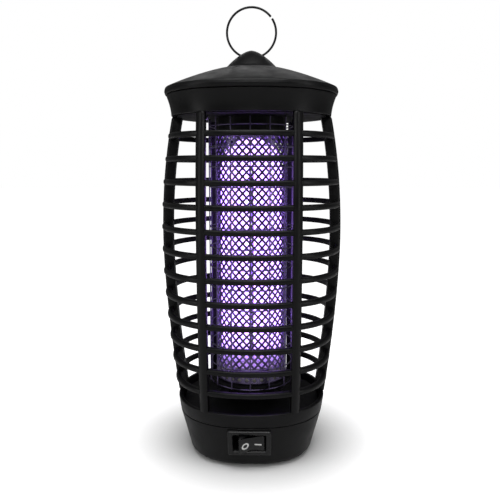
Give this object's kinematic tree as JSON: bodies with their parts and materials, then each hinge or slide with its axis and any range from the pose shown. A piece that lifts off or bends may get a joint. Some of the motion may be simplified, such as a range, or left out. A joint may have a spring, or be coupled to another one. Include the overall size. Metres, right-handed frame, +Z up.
{
  "type": "electric bug zapper",
  "caption": "Hanging electric insect killer: ribbed black lantern cage round a wire grid and a lit UV lamp, with a steel hanging ring and a rocker switch on its base.",
  "frame": {"origin": "middle of the footprint, on the ground under the feet", "axes": "+Z up along the lamp; -Y is the front, where the switch is; +X to the right as seen from the front"},
  "size_m": [0.092, 0.0908, 0.2257],
  "materials": {
    "black_plastic": "satin black ABS, finely textured",
    "inner_plastic": "matt black",
    "switch_plastic": "glossy black",
    "rubber": "matt",
    "steel_wire": "bright drawn wire",
    "screw_steel": "zinc plated",
    "brass": "plain",
    "lamp_glass": "clear, lit violet",
    "lamp_cap": "ivory moulding",
    "board": "green solder mask",
    "capacitor": "dipped resin",
    "ferrite": "sintered grey",
    "lead_red": "sleeving",
    "lead_black": "sleeving"
  },
  "bodies": {
    "housing": {"base_cover": "black_plastic", "base_housing": "black_plastic", "circuit_board": "board", "cord_bush": "rubber", "cover_screw_1": "screw_steel", "cover_screw_2": "screw_steel", "cover_screw_3": "screw_steel", "film_capacitor_1": "capacitor", "film_capacitor_2": "capacitor", "foot_1": "rubber", "foot_2": "rubber", "foot_3": "rubber", "foot_4": "rubber", "fuse": "lamp_glass", "guard_cage_front": "black_plastic", "guard_cage_rear": "black_plastic", "inner_grid": "steel_wire", "lamp_cap": "lamp_cap", "lamp_lead_1": "lead_red", "lamp_lead_2": "lead_red", "lamp_tube": "lamp_glass", "lower_insulator": "inner_plastic", "outer_grid": "steel_wire", "roof_cap": "black_plastic", "roof_screw_1": "screw_steel", "roof_screw_2": "screw_steel", "roof_screw_3": "screw_steel", "switch_housing": "switch_plastic", "switch_lead": "lead_black", "switch_terminal_1": "brass", "switch_terminal_2": "brass", "transformer": "ferrite", "tray_floor": "inner_plastic", "upper_insulator": "inner_plastic"},
    "ring": {"hang_ring": "steel_wire"},
    "rocker": {"switch_rocker": "switch_plastic"}
  },
  "joints": [
    {"name": "ring_swing", "type": "hinge", "parent": "housing", "child": "ring", "pos_m": [0, 0, 0.2013], "axis": [1, 0, 0], "range_deg": [-95, 95]},
    {"name": "rocker_tilt", "type": "hinge", "parent": "housing", "child": "rocker", "pos_m": [0, -0.03282, 0.01541], "axis": [0, 0.2736, -0.9618], "range_deg": [0, 28]}
  ]
}
